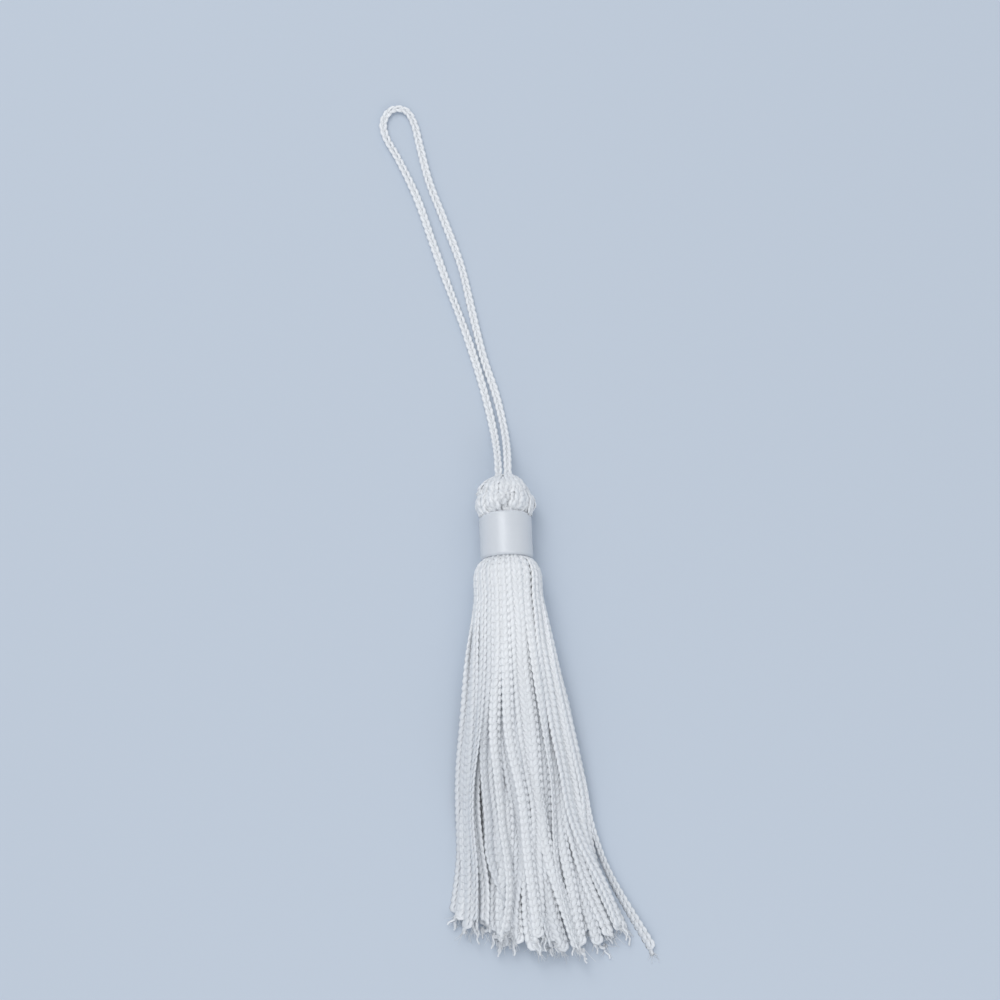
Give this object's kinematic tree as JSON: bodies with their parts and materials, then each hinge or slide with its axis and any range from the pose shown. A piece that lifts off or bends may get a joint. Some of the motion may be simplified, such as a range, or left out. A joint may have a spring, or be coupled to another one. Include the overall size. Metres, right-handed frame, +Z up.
{
  "type": "tassel",
  "caption": "Silky chainette tassel lying on its back: a long fanned skirt under a wrapped satin neck band and a puffed head, with a doubled hanging loop.",
  "frame": {"origin": "on the surface that the tassel lies on, under the middle of its head, band and skirt; the hanging loop lies beyond", "axes": "+Y along the tassel from the skirt's ends towards the head and loop, +Z up from the surface"},
  "size_m": [0.0367, 0.1598, 0.0104],
  "materials": {
    "chainette": "silky, soft sheen",
    "satin_band": "satin"
  },
  "bodies": {
    "root": {"folded_strands": "chainette", "neck_band": "satin_band", "hanging_loop": "chainette"}
  },
  "joints": []
}
